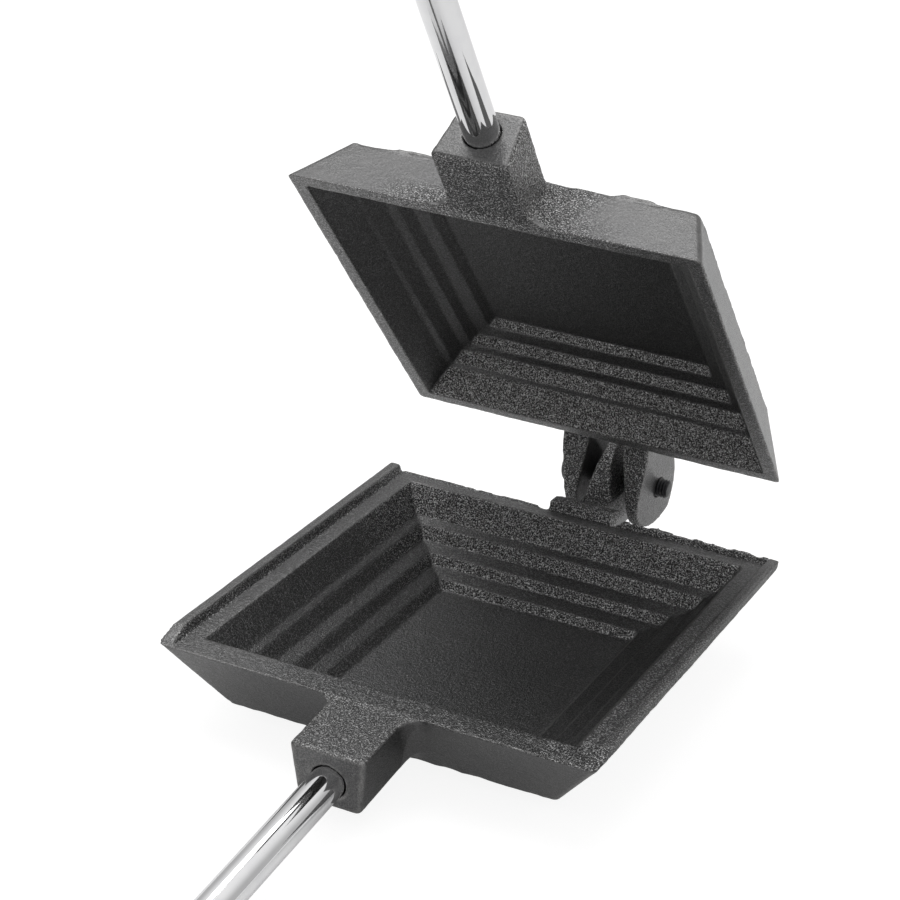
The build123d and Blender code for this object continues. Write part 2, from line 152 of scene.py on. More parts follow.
def skin(rings, closed=False):
    """Quads between rings of equally many points; open ends are closed with a fan."""
    count = len(rings[0])
    points = [point for ring in rings for point in ring]
    faces = []
    spans = len(rings) if closed else len(rings) - 1
    for row in range(spans):
        here, there = row * count, (row + 1) % len(rings) * count
        for column in range(count):
            beside = (column + 1) % count
            faces.append((here + column, here + beside, there + beside, there + column))
    if not closed:
        last = (len(rings) - 1) * count
        for first, order in ((0, -1), (last, 1)):
            ring = list(range(first, first + count))[::order]
            middle = len(points)
            points.append(tuple(np.mean([points[i] for i in ring], axis=0)))
            faces += [(ring[i], ring[(i + 1) % count], middle) for i in range(count)]
    mesh = bpy.data.meshes.new("skin")
    mesh.from_pydata(points, [], faces)
    tidy = bmesh.new()
    tidy.from_mesh(mesh)
    bmesh.ops.recalc_face_normals(tidy, faces=tidy.faces)
    tidy.to_mesh(mesh)
    tidy.free()
    return mesh


def lathe(outline, segments=72, closed=True, shape=None):
    """Turned about +X from (along, radius) pairs; shape may change a radius by angle."""
    rings = []
    for along, radius in outline:
        ring = []
        for number in range(segments):
            turn = 2 * math.pi * number / segments
            reach = shape(along, radius, turn) if shape else radius
            ring.append((along, reach * math.cos(turn), reach * math.sin(turn)))
        rings.append(ring)
    return skin(rings, closed=closed)


def rounded(points, corner, steps=4):
    """An outline whose corner points are replaced with short arcs."""
    path = []
    count = len(points)
    for number in range(count):
        before, here, after = (
            np.array(points[(number + shift) % count], float) for shift in (-1, 0, 1)
        )
        reach = min(
            corner, 0.45 * np.linalg.norm(before - here), 0.45 * np.linalg.norm(after - here)
        )
        start = here + (before - here) / np.linalg.norm(before - here) * reach
        end = here + (after - here) / np.linalg.norm(after - here) * reach
        for step in range(steps + 1):
            share = step / steps
            bend = (1 - share) ** 2 * start + 2 * share * (1 - share) * here + share**2 * end
            path.append(tuple(bend))
    return path


def arrays(mesh):
    """Points and normals of a mesh as arrays."""
    points = np.empty(len(mesh.vertices) * 3)
    mesh.vertices.foreach_get("co", points)
    normals = np.empty(len(mesh.vertices) * 3)
    mesh.vertex_normals.foreach_get("vector", normals)
    return points.reshape(-1, 3), normals.reshape(-1, 3)


def add_layer(mesh, name, values):
    """Keeps one number for each point, for the materials."""
    mesh.attributes.new(name, "FLOAT", "POINT").data.foreach_set("value", values)


# ---- node helpers ------------------------------------------------------------------


def grey(value):
    return (value, value, value, 1.0)


class Nodes:
    """Short calls for the nodes used here, in an emptied node tree."""

    def __init__(self, tree):
        self.tree = tree
        tree.nodes.clear()

    def feed(self, socket, value):
        """Links a socket to another node's output, or sets its number or colour."""
        if hasattr(value, "is_output"):
            self.tree.links.new(value, socket)
        else:
            socket.default_value = value

    def node(self, kind, settings=None, **inputs):
        made = self.tree.nodes.new(kind)
        for key, value in (settings or {}).items():
            setattr(made, key, value)
        for key, value in inputs.items():
            self.feed(made.inputs[key.replace("_", " ")], value)
        return made

    def math(self, operation, *values, clamp=False):
        made = self.node("ShaderNodeMath", {"operation": operation, "use_clamp": clamp})
        for socket, value in zip(made.inputs, values):
            self.feed(socket, value)
        return made.outputs[0]

    def ramp(self, value, low, high, out_low=0.0, out_high=1.0):
        """A smooth change from out_low at low to out_high at high."""
        settings = {"interpolation_type": "SMOOTHSTEP"}
        made = self.node(
            "ShaderNodeMapRange",
            settings,
            Value=value,
            From_Min=low,
            From_Max=high,
            To_Min=out_low,
            To_Max=out_high,
        )
        return made.outputs["Result"]

    def mix(self, factor, first, second):
        made = self.node("ShaderNodeMix", {"data_type": "RGBA"}, Factor=factor)
        self.feed(made.inputs[6], first)
        self.feed(made.inputs[7], second)
        return made.outputs[2]


class Material(Nodes):
    """A node material that ends in one principled shader."""

    def __init__(self, name):
        self.material = bpy.data.materials.new(name)
        self.material.use_nodes = True
        super().__init__(self.material.node_tree)

    def noise(self, vector, scale, detail=2.0, roughness=0.5):
        made = self.node(
            "ShaderNodeTexNoise", Vector=vector, Scale=scale, Detail=detail, Roughness=roughness
        )
        return made.outputs["Fac"]

    def bump(self, height, distance, strength=1.0, normal=None):
        made = self.node("ShaderNodeBump", Height=height, Distance=distance, Strength=strength)
        if normal is not None:
            self.feed(made.inputs["Normal"], normal)
        return made.outputs["Normal"]

    def place(self, stretch=None):
        """Where a point of the surface lies, in metres, drawn out along one axis."""
        at = self.node("ShaderNodeTexCoord").outputs["Object"]
        if stretch is None:
            return at
        return self.node("ShaderNodeMapping", Vector=at, Scale=stretch).outputs["Vector"]

    def layer(self, name):
        return self.node("ShaderNodeAttribute", {"attribute_name": name}).outputs["Fac"]

    def finish(self, **inputs):
        shader = self.node("ShaderNodeBsdfPrincipled", **inputs)
        self.node("ShaderNodeOutputMaterial", Surface=shader.outputs[0])
        return self.material


# ---- materials ---------------------------------------------------------------------


def cast_iron():
    """Dark bare casting with a soft gloss: sand grain and finer pits, with painted shade in the
    cavities and on shaded faces and painted highlights on grain tips and edges.
    """
    bare, clouded = (0.066, 0.065, 0.067, 1), (0.085, 0.083, 0.082, 1)
    rubbed_and_lit_tone, painted_shade_tone = (0.34, 0.33, 0.32, 1), (0.026, 0.025, 0.025, 1)
    painted_pit_shade, tip_rubbed_and_lit, painted_glint = grey(0.008), grey(0.7), grey(0.72)
    m = Material("cast_iron")
    at = m.place()
    grain, painted_shade = m.layer("grain"), m.layer("painted_shade")
    coarse = m.noise(at, 3000, 2, 0.6)
    lumps = m.noise(at, 1150, 2, 0.5)
    fine = m.noise(at, 4600, 1, 0.5)
    patches = m.noise(at, 70, 3, 0.55)
    tone = m.mix(m.ramp(patches, 0.35, 0.65), bare, clouded)
    # painted highlight along rounded edges and on walls by which way they face, together with real
    # rubbing of sharp edges
    tone = m.mix(m.layer("wear_and_highlight"), tone, rubbed_and_lit_tone)
    # painted shade: the cavities, ledges, walls turned from the light and hollows outside made
    # darker
    tone = m.mix(painted_shade, tone, painted_shade_tone)
    # grain tips are brighter than the pits between them, most where it is coarse: partly rubbed
    # metal, partly painted highlight on the tips and painted shade in the pits
    spread = m.math("MULTIPLY_ADD", grain, 0.95, 0.05)
    tips = m.math("SUBTRACT", m.ramp(coarse, 0.40, 0.62), 0.5)
    share = m.math("ADD", m.math("MULTIPLY", tips, spread), 0.5, clamp=True)
    colour = m.mix(share, m.mix(0.8, tone, painted_pit_shade), m.mix(0.30, tone, tip_rubbed_and_lit))
    # painted glints: the coarsest grain tips given a bright colour
    painted_sparkle = m.math("MULTIPLY", m.ramp(coarse, 0.55, 0.67), m.ramp(spread, 0.2, 0.9))
    colour = m.mix(painted_sparkle, colour, painted_glint)
    normal = m.bump(fine, 0.05 * MM, 0.8)
    normal = m.bump(coarse, 0.50 * MM, spread, normal)
    normal = m.bump(lumps, 0.45 * MM, spread, normal)
    rough = m.math("ADD", m.ramp(coarse, 0.3, 0.7, 0.33, 0.25), m.math("MULTIPLY", grain, 0.16))
    # where the painted shade lies the metal also mirrors less at every angle: painted shade on its
    # reflections
    painted_shade_tint = m.mix(painted_shade, grey(1), grey(0.35))
    return m.finish(
        Base_Color=colour, Metallic=0.9, Roughness=rough, Normal=normal, Specular_Tint=painted_shade_tint
    )


def chrome():
    """Bright plate with hair-fine polishing lines round the bar."""
    bright, dull = (0.80, 0.80, 0.805, 1), (0.77, 0.77, 0.78, 1)
    m = Material("chrome")
    lines = m.noise(m.place((1, 0.02, 0.02)), 5200, 2, 0.5)
    cloud = m.noise(m.place(), 260, 2, 0.5)
    colour = m.mix(m.ramp(cloud, 0.35, 0.7), bright, dull)
    rough = m.ramp(cloud, 0.4, 0.7, 0.045, 0.07)
    normal = m.bump(lines, 0.004 * MM, 0.5)
    return m.finish(Base_Color=colour, Metallic=1.0, Roughness=rough, Normal=normal)


def zinc_steel():
    """Zinc-plated pressed steel: a cloudy sheen and fine scratches."""
    dark, light = (0.52, 0.53, 0.55, 1), (0.64, 0.65, 0.66, 1)
    m = Material("zinc_steel")
    cloud = m.noise(m.place(), 420, 3, 0.6)
    scratch = m.noise(m.place((1, 0.08, 1)), 4200, 2, 0.5)
    colour = m.mix(m.ramp(cloud, 0.3, 0.7), dark, light)
    rough = m.ramp(cloud, 0.3, 0.7, 0.38, 0.24)
    normal = m.bump(scratch, 0.012 * MM, 0.6)
    return m.finish(Base_Color=colour, Metallic=1.0, Roughness=rough, Normal=normal)


def black_steel():
    """Blackened screw steel with brighter worn spots."""
    black, worn = (0.018, 0.018, 0.02, 1), (0.12, 0.11, 0.10, 1)
    m = Material("black_steel")
    at = m.place()
    spots = m.noise(at, 900, 3, 0.6)
    colour = m.mix(m.ramp(spots, 0.55, 0.75), black, worn)
    rough = m.ramp(spots, 0.3, 0.7, 0.30, 0.46)
    normal = m.bump(m.noise(at, 2600, 2, 0.6), 0.03 * MM, 0.7)
    return m.finish(Base_Color=colour, Metallic=0.7, Roughness=rough, Normal=normal)


def varnished_wood(name, direction):
    """Turned hardwood under thin varnish, its grain drawn out along the grip."""
    light, mid, dark = (0.46, 0.25, 0.105, 1), (0.33, 0.155, 0.058, 1), (0.15, 0.062, 0.024, 1)
    burnt = (0.035, 0.016, 0.009, 1)
    m = Material(name)
    # turned so that +Y runs along the grip before it is drawn out
    along = m.node("ShaderNodeMapping", Vector=m.place(), Rotation=direction).outputs["Vector"]
    drawn = m.node("ShaderNodeMapping", Vector=along, Scale=(1, 0.045, 1)).outputs["Vector"]
    bands = m.noise(drawn, 190, 4, 0.6)
    streaks = m.noise(drawn, 900, 3, 0.6)
    pores = m.noise(drawn, 2600, 2, 0.7)
    colour = m.mix(m.ramp(bands, 0.32, 0.66), mid, light)
    colour = m.mix(m.ramp(streaks, 0.52, 0.72, 0.0, 0.7), colour, dark)
    colour = m.mix(m.ramp(pores, 0.62, 0.70, 0.0, 0.75), colour, dark)
    colour = m.mix(m.layer("scorch"), colour, burnt)
    normal = m.bump(pores, 0.05 * MM, 0.5)
    normal = m.bump(streaks, 0.05 * MM, 0.4, normal)
    rough = m.ramp(streaks, 0.3, 0.7, 0.36, 0.46)
    return m.finish(
        Base_Color=colour, Roughness=rough, Normal=normal, Coat_Weight=0.5, Coat_Roughness=0.18
    )


iron = cast_iron()
plate = chrome()
zinc = zinc_steel()
screw_steel = black_steel()
woods = {
    "lower": varnished_wood("wood_lower", (0, 0, 0)),
    "upper": varnished_wood("wood_upper", (math.radians(open_angle), 0, 0)),
}

# ---- the skin of the castings --------------------------------------------------------

voxel = 0.4      # side of the quads that a casting is redrawn in
rim_reach, rim_rise = 0.3, 0.07         # the rims nearly meet when shut, so they stay this low

plain_grain = 0.18
# a wall face counts as a band or a ledge by how far its normal leans
band_lean, upper_rear_lean = (0.56, 0.72), (0.6, 0.74)
ledge_lean, cheek_lean = (0.72, 0.84), (0.5, 0.8)
floor_top = 5.0                         # below this an upward face is the cavity's floor
socket_reach, socket_foot = 14, 4       # half width and lowest point of where a socket grows


def casting(node, half, strips):
    """A node's mesh in its half's frame, joined with strips and drawn in even quads."""
    whole = bmesh.new()
    copy = nodes[node].data.copy()
    copy.transform(half.inverted())
    for mesh in [copy] + strips:
        whole.from_mesh(mesh)
    bmesh.ops.remove_doubles(whole, verts=whole.verts, dist=0.001)
    joined = bpy.data.meshes.new("joined")
    whole.to_mesh(joined)
    whole.free()
    rough = linked("rough", joined)
    even = rough.modifiers.new("even", "REMESH")
    even.mode = "VOXEL"
    even.voxel_size = voxel
    soften = rough.modifiers.new("soften", "SMOOTH")
    soften.factor = 0.5
    soften.iterations = 2
    return applied(rough)


def near_line(points, start, end, reach):
    """1 on a straight edge, falling to 0 at reach from it."""
    start, end = np.array(start, float), np.array(end, float)
    along = end - start
    share = np.clip((points - start) @ along / (along @ along), 0, 1)
    away = np.linalg.norm(points - start - share[:, None] * along, axis=1)
    return rise(away, reach, 0.2 * reach)


def in_cavity(points, normals, front, rear, margin=0.15):
    """True on the cavity's own walls and floor, which face inwards or up."""
    x, y, z = points.T
    inside = (abs(x) < cavity_width / 2 + margin) & (y > front - margin) & (y < rear + margin)
    inward = (normals[:, 0] * x + normals[:, 1] * y < 0) | (normals[:, 2] > 0.6)
    return inside & inward & (z < pan_height - margin)


def lower_grain(points, normals):
    """How coarse the sand grain is, and how much painted shade darkens it and painted light
    brightens it.
    """
    x, y, z = points.T
    nx, ny, nz = normals.T
    hollow = in_cavity(points, normals, -half_length + cavity_front, half_length - cavity_rear)
    rim = z > pan_height - 0.6
    near_front = rise(y, -40, -50) * rise(x, -34, -8)
    socket = (y < -half_length + 1) & (abs(x) < socket_reach) & (z > socket_foot)
    hinge_side = (y > half_length - 0.5) & (z > pan_height - 8)
    lip_inside = (z > pan_height + 0.2) & (nz < 0.8) & (abs(x) > 48) & (abs(x) < 52)
    cove = rim & (y > half_length - 2.5) & (abs(x) < 14)
    rear_band, left_band = rise(-ny, *band_lean), rise(nx, *band_lean)
    ledge = rise(nz, *ledge_lean) * (z > floor_top)

    grain = np.full(len(points), plain_grain)
    grain = np.where(rim, 0.3 + 0.18 * near_front + 0.25 * rise(y, 30, 0) * (x > 40), grain)
    grain = np.where(socket, 0.22 + 0.3 * rise(nz, 0.3, 0.8), grain)
    grain = np.where(hinge_side, 0.75, grain)
    grain = np.where(lip_inside, 0.7, grain)
    inner = 0.34 + 0.62 * rear_band + (0.1 + 0.5 * rise(y, 12, 44)) * left_band

    # painted shade: ledges and walls facing +X darker, rear bands lighter; outside the cavity the
    # rim, the socket's top, its side facing +X and the cove by the hinge block darker
    painted_shade = 0.25 + 0.6 * ledge + 0.45 * left_band - 0.25 * rear_band
    painted_shade_outside = (0.38 + 0.15 * near_front) * (rim | socket & (nz > 0.6)) + 0.3 * cove
    painted_shade_outside = painted_shade_outside + 0.6 * socket * (nx > 0.5)

    # painted light: cavity walls facing -X and the rear bands made brighter
    painted_facing_light = hollow * (0.9 * rise(-nx, 0.45, 0.65) + 0.14 * rear_band)
    return np.where(hollow, inner, grain), np.where(hollow, painted_shade, painted_shade_outside), painted_facing_light


def upper_grain(points, normals):
    """The same for the upper pan."""
    x, y, z = points.T
    nx, ny, nz = normals.T
    front = -half_length + cavity_front - upper_setback
    rear = half_length - cavity_rear - upper_setback
    hollow = in_cavity(points, normals, front, rear)
    rim = z > pan_height - 0.5
    wall = (y < -half_length + upper_run + 0.5) & (y > -half_length - 0.6)
    beside_socket = rise(abs(x), 34, 12) * rise(z, 11, 18)
    beside_socket = np.maximum(beside_socket, rise(-x, 26, 13) * (x < 0))
    rim_by_socket = rise(abs(x), 40, 12) * rise(y, -44, -50)
    socket = (y < -half_length + 0.5) & (abs(x) < socket_reach) & (z > socket_foot)
    rim_side, cheeks = rise(nz, 0.3, 0.7), rise(abs(nx), *cheek_lean)
    ears = y > upper_rear + 0.6
    rear_band, side_band = rise(-ny, *upper_rear_lean), rise(abs(nx), *band_lean)
    ledge = rise(nz, *ledge_lean) * (z > floor_top)

    grain = np.full(len(points), plain_grain)
    grain = np.where(wall, 0.12 + 0.7 * beside_socket, grain)
    grain = np.where(rim, 0.42 + 0.4 * rim_by_socket, grain)
    grain = np.where(socket, 0.16 + 0.8 * np.maximum(0.65 * rim_side, cheeks), grain)
    grain = np.where(ears, 0.7 - 0.45 * rise(abs(nx), 0.7, 0.9), grain)
    inner = 0.3 + 0.7 * rear_band

    # painted shade: the cavity darker, its side bands most and its rear bands least, ledges by
    # facing; outside it, faces towards -Y, the socket's upward faces and the ears' faces other than
    # their sides darker
    painted_shade = 0.75 + 0.2 * side_band - 0.75 * rear_band
    painted_shade = painted_shade + ledge * (0.2 * rise(-ny, 0.12, 0.2) - 0.5 * rise(abs(nx), 0.12, 0.2))
    painted_shade_outside = np.where(socket, 0.6 * (ny < -0.8) + 0.65 * rim_side, 0.34 * (ny < -0.6))
    painted_shade_outside = np.where(ears, 0.5 * (abs(nx) < 0.7), painted_shade_outside)

    # painted light: the rear bands and one cheek of the socket made brighter
    painted_facing_light = 0.5 * hollow * rear_band + 0.5 * socket * cheeks * (x < 0)
    return np.where(hollow, inner, grain), np.where(hollow, painted_shade, painted_shade_outside), painted_facing_light


def surface(mesh, half, grain_of, edges, limits):
    """Casts the skin: sand waves, grain and ragged edges, with its grain and painted shade kept as
    layers.
    """
    points, normals = arrays(mesh)
    grain, painted_shade, painted_facing_light = (np.clip(layer, 0, 1) for layer in grain_of(points, normals))
    # slow waves, small dents and the grain itself
    lift = 0.06 * noise(points, 9, 1) + 0.02 * noise(points, 2.7, 2)
    lift += (0.01 + 0.05 * grain) * noise(points, 1.1, 3)
    for start, end, depth, reach in edges:
        close = near_line(points, start, end, reach)
        chips = noise(points, 3.4, 5) + 0.6 * noise(points, 1.4, 6)
        lift += depth * close * np.clip(chips, -1, 1)
    moved = points + normals * lift[:, None]
    on_rim = abs(points[:, 2] - pan_height) < rim_reach
    moved[on_rim, 2] = np.minimum(moved[on_rim, 2], pan_height + rim_rise)
    low, high = limits
    moved = np.clip(moved, low, high)
    mesh.vertices.foreach_set("co", moved.ravel())
    add_layer(mesh, "grain", grain)
    add_layer(mesh, "painted_shade", painted_shade)
    mesh.transform(half)
    mesh.update()
    return points, normals, painted_facing_light


def bulge(mesh, points, normals):
    """How far each point stands out from the mean of its neighbours, smoothed twice."""
    ends = np.empty(len(mesh.edges) * 2, np.int32)
    mesh.edges.foreach_get("vertices", ends)
    here, there = ends.reshape(-1, 2).T
    count = np.bincount(ends, minlength=len(points))

    def mean(values):
        total = np.bincount(here, values[there], len(points))
        return (total + np.bincount(there, values[here], len(points))) / count

    around = np.stack([mean(points[:, axis]) for axis in range(3)], axis=1)
    found = ((points - around) * normals).sum(axis=1)
    return mean(mean(found))


def wear_and_highlight_layer(mesh, points, normals, painted_facing_light, edges):
    """Keeps where the iron is brighter: every sharp edge a little, those given more, with the
    painted light by facing; real rubbing and painted highlight together.
    """
    spots = rise(noise(points, 4.5, 11) + 0.5 * noise(points, 1.6, 12), -0.1, 0.5)
    out = bulge(mesh, points, normals) / voxel
    strength = np.where(points[:, 2] < pan_height - 0.6, 0.7, 0.5)
    wear_and_highlight = np.maximum(painted_facing_light, strength * rise(out, 0.014, 0.055) * (0.5 + 0.5 * spots))
    for start, end, strength in edges:
        wear_and_highlight = np.maximum(wear_and_highlight, strength * near_line(points, start, end, 0.9) * spots)
    add_layer(mesh, "wear_and_highlight", wear_and_highlight)


def flash(start, end, out, up, width, height, seed):
    """A ragged seam left by the mould: a closed strip whose edge comes and goes."""
    start, end, out, up = (np.array(v, float) for v in (start, end, out, up))
    length = np.linalg.norm(end - start)
    step, run_out = 0.5, 2.5
    rings = []
    for number in range(int(length / step) + 1):
        at = start + (end - start) * min(1, number * step / length)
        ragged = [0.78 + 0.22 * noise([at], size, seed + size)[0] for size in (5, 2)]
        reach = width * ragged[0] * (0.8 + 0.2 * noise([at], 0.9, seed + 3)[0])
        top = height * ragged[1] * (0.85 + 0.15 * noise([at], 0.8, seed + 4)[0])
        taper = min(1, number * step / run_out, (length - number * step) / run_out + 0.05)
        rings.append(
            [
                at - 0.6 * out - 0.9 * up,
                at + reach * taper * out - 0.5 * up,
                at + reach * taper * out + top * taper * up,
                at + 0.3 * out + top * 0.8 * taper * up,
                at + 0.15 * out - 0.1 * up,
                at - 0.6 * out - 0.3 * up,
            ]
        )
    return skin(rings)


# ---- the two castings ----------------------------------------------------------------


def level_edges(x, front, rear, z):
    """The edges of a level rectangle: left, right, front and rear."""
    return (
        ((-x, front, z), (-x, rear, z)),
        ((x, front, z), (x, rear, z)),
        ((-x, front, z), (x, front, z)),
        ((-x, rear, z), (x, rear, z)),
    )


def cast_piece(side, grain_of, strips, ragged, worn, limits):
    """A pan redrawn from its node, surfaced with its painted shade, worn and given painted
    highlights.
    """
    half = halves[side]
    mesh = casting(f"{side}_pan", half, strips)
    points, normals, painted_facing_light = surface(mesh, half, grain_of, ragged, limits)
    wear_and_highlight_layer(mesh, points, normals, painted_facing_light, worn)
    piece(f"{side}_casting", mesh, iron, f"{side}_half", f"{side}_pan", 0)


# behind the lower rim: right of the hinge block a raised seam, left of it a flat one
rearwards, upwards = (0, 1, 0), (0, 0, 1)
seam_width = 1.9
flat_seam_z = pan_height - 0.35
lower_strips = [
    flash(
        (9.6, half_length, pan_height),
        (half_width - 0.6, half_length, pan_height),
        rearwards, upwards, seam_width, height=2.5, seed=21,
    ),
    flash(
        (-half_width + 1, half_length, flat_seam_z),
        (-9.5, half_length, flat_seam_z),
        rearwards, upwards, seam_width, height=0.5, seed=31,
    ),
]
lower_left, lower_right = (
    ((x, -half_length, pan_height), (x, half_length, pan_height + 1))
    for x in (-half_width, half_width)
)
front_left, front_right = (
    (x, -half_length, pan_height) for x in (-half_width, half_width)
)
socket_end, socket_end_top = -half_length - socket_length, 18.6
lower_ragged = [
    (*edge, 0.13, 1.3) for edge in level_edges(foot_x, -foot_y, foot_y, belly)
]
lower_ragged += [
    (*lower_left, 0.18, 1.4),
    (*lower_right, 0.18, 1.4),
    (front_left, front_right, 0.16, 1.2),
]
# edges rubbed bright, with a painted highlight along them
lower_worn_and_lit = [
    (*lower_right, 0.7),
    (front_left, (-12, -half_length, pan_height), 0.5),
    ((12, -half_length, pan_height), front_right, 0.5),
    ((-9, socket_end, socket_end_top), (9, socket_end, socket_end_top), 0.5),
]
lower_limits = ((-half_width, -90, 0), (half_width, 91.1, 40))
cast_piece("lower", lower_grain, lower_strips, lower_ragged, lower_worn_and_lit, lower_limits)

# two short seams where the upper pan's handle wall meets its belly
outwards, wallwards = (0, -0.3, -0.95), (0, -0.9, 0.3)
upper_strips = [
    flash(
        (left, -upper_y, upper_belly),
        (right, -upper_y, upper_belly),
        outwards, wallwards, width=0.9, height=0.3, seed=seed,
    )
    for left, right, seed in ((-34, -22, 41), (14, 33, 51))
]
belly_left, belly_right, belly_front, _ = level_edges(
    upper_x, -upper_y, upper_rear - upper_run, upper_belly
)
rim_left, rim_right, _, rim_rear = level_edges(
    upper_width / 2, -half_length, upper_rear, pan_height
)
upper_ragged = [
    (*belly_front, 0.22, 1.3),
    (*belly_left, 0.14, 1.2),
    (*belly_right, 0.14, 1.2),
    (*rim_left, 0.08, 1),
    (*rim_right, 0.07, 1),
    (*rim_rear, 0.08, 1),
]
# edges rubbed bright, with a painted highlight along them
upper_worn_and_lit = [(*rim_left, 0.9), (*rim_rear, 0.4)]
upper_limits = ((-half_width, -90, 0), (half_width, 92, 60))
cast_piece("upper", upper_grain, upper_strips, upper_ragged, upper_worn_and_lit, upper_limits)

# ---- rods --------------------------------------------------------------------------

rod_sides = 56
rod_end_rim = 0.4           # width of the flat ring round a rod's end
splay = math.radians(rod_splay)
along_splay = np.array([math.cos(splay), math.sin(splay)])
splay_start = np.array([-half_length - socket_length, pan_height - bore_drop])
inner_end = splay_start + bore_depth * along_splay
splay_end = splay_start - splay_length * along_splay
grip_start = np.array([grip_front, grip_height])
rod_end = np.array([grip_front - grip_length - rod_past_grip, grip_height])


def bent(before, corner, after, radius, steps=10):
    """Points along the arc that rounds a corner of the rod."""
    one, two = before - corner, after - corner
    one, two = one / np.linalg.norm(one), two / np.linalg.norm(two)
    opening = math.acos(np.clip(one @ two, -1, 1))
    reach = radius / math.tan(opening / 2)
    middle = corner + (one + two) / np.linalg.norm(one + two) * radius / math.sin(opening / 2)
    start, end = corner + one * reach - middle, corner + two * reach - middle
    sweep = math.acos(np.clip(start @ end / radius**2, -1, 1))
    arc = []
    for step in range(steps + 1):
        share = step / steps
        weight = [math.sin((1 - share) * sweep), math.sin(share * sweep)]
        arc.append(middle + (weight[0] * start + weight[1] * end) / math.sin(sweep))
    return arc


def rod_mesh():
    """A round bar along the splay, both bends and the straight run, its ends flat."""
    route = [inner_end, *bent(inner_end, splay_end, grip_start, rod_bend)]
    route += [*bent(splay_end, grip_start, rod_end, grip_bend), rod_end]
    last = len(route) - 1
    rings = []
    for number, here in enumerate(route):
        before, after = route[max(number - 1, 0)], route[min(number + 1, last)]
        ahead = (after - before) / np.linalg.norm(after - before)
        across = np.array([-ahead[1], ahead[0]])
        radii = [rod_radius]
        if number == 0:
            radii = [rod_radius - rod_end_rim, rod_radius]
        elif number == last:
            radii = [rod_radius, rod_radius - rod_end_rim]
        for radius in radii:
            ring = []
            for step in range(rod_sides):
                turn = 2 * math.pi * step / rod_sides
                side = here + across * radius * math.sin(turn)
                ring.append((radius * math.cos(turn), side[0], side[1]))
            rings.append(ring)
    return skin(rings)


for side, half in halves.items():
    mesh = rod_mesh()
    mesh.transform(half)
    piece(f"{side}_bar", mesh, plate, f"{side}_half", f"{side}_rod")

# ---- turned pieces on the rods -------------------------------------------------------

# a turned piece's own +X runs down the grip from its front end
down_grip = Matrix(((0, 0, 1, 0), (-1, 0, 0, grip_front), (0, -1, 0, grip_height), (0, 0, 0, 1)))
groove_stations, groove_depth, groove_width = (18.6, 121.0, 123.6), 0.35, 0.42
scorch_width, scorch_strength = 0.5, 0.92


def curve(start, end, slopes, steps):
    """Points of a smooth outline between two stations with given slopes."""
    length = end[0] - start[0]
    found = []
    for step in range(1, steps + 1):
        t = step / steps
        height = (2 * t**3 - 3 * t**2 + 1) * start[1] + (3 * t**2 - 2 * t**3) * end[1]
        height += length * ((t**3 - 2 * t**2 + t) * slopes[0] + (t**3 - t**2) * slopes[1])
        found.append((start[0] + length * t, height))
    return found


def groove(outline, station):
    """Cuts a rounded groove into an outline that has points close enough to hold it."""
    return [
        (along, radius - groove_depth * math.exp(-(((along - station) / groove_width) ** 2)))
        for along, radius in outline
    ]


def grip_mesh():
    """The turned wood: a straight band for the latch, a waist, grooves and a round butt."""
    shoulder = (ferrule_length + seat_play, ferrule_radius)
    band_start = (latch_station - latch_band / 2, grip_radius)
    band_end = (latch_station + latch_band / 2, grip_radius)
    waist = (waist_station, waist_radius)
    butt_start = (127.5, 8.18)
    butt_end = (grip_length - butt_round, butt_radius)
    waist_slope, butt_slope = -0.031, 0.004
    outline = [shoulder]
    outline += curve(shoulder, band_start, (0.1, 0), 60)
    outline += [(band_start[0] + latch_band * n / 30, grip_radius) for n in range(1, 31)]
    outline += curve(band_end, waist, (0, waist_slope), 60)
    outline += curve(waist, butt_start, (waist_slope, butt_slope), 110)
    for station in groove_stations:
        outline = groove(outline, station)
    swell = (butt_end[0] - butt_start[0], butt_end[1] - butt_start[1])
    outline += [
        (butt_start[0] + swell[0] * n / 8, butt_start[1] + swell[1] * n / 8) for n in range(1, 9)
    ]
    for degrees in range(0, 91, 10):
        turn = math.radians(degrees)
        along = butt_end[0] + butt_round * math.sin(turn)
        outline.append((along, butt_radius - butt_round + butt_round * math.cos(turn)))
    tenon = ferrule_radius - ferrule_wall - seat_play
    tenon_start = ferrule_wall + seat_play
    outline += [
        (grip_length - 0.1, grip_bore + 0.3),
        (grip_length - 0.4, grip_bore),
        (tenon_start, grip_bore),
        (tenon_start, tenon),
        (shoulder[0], tenon),
    ]
    return lathe(outline, 96)


def scorch_layer(mesh):
    """Keeps where the turned grooves are burnt dark, by how far down the grip they lie."""
    points, _ = arrays(mesh)
    burnt = np.zeros(len(points))
    for station in groove_stations:
        away = (points[:, 0] - station) / scorch_width
        burnt = np.maximum(burnt, np.exp(-(away**2)))
    add_layer(mesh, "scorch", scorch_strength * burnt)


rolled_floor = ferrule_radius - 0.25
ferrule_outline = rounded(
    [
        (0, grip_bore),
        (0, ferrule_radius),
        (9.6, ferrule_radius),
        (10.2, rolled_floor),
        (11.4, rolled_floor),
        (12.0, ferrule_radius),
        (ferrule_length, ferrule_radius),
        (ferrule_length, ferrule_radius - ferrule_wall),
        (ferrule_wall, ferrule_radius - ferrule_wall),
        (ferrule_wall, grip_bore),
    ],
    0.7,
)
nut_start = grip_length + washer_thickness
washer_outline = rounded(
    [
        (grip_length, grip_bore),
        (grip_length, washer_radius),
        (nut_start, washer_radius),
        (nut_start, grip_bore),
    ],
    0.3,
)

# the nut's stations are counted from its seat on the washer
hex_start, hex_end, across_flats = 0.05, 5.0, 9.2


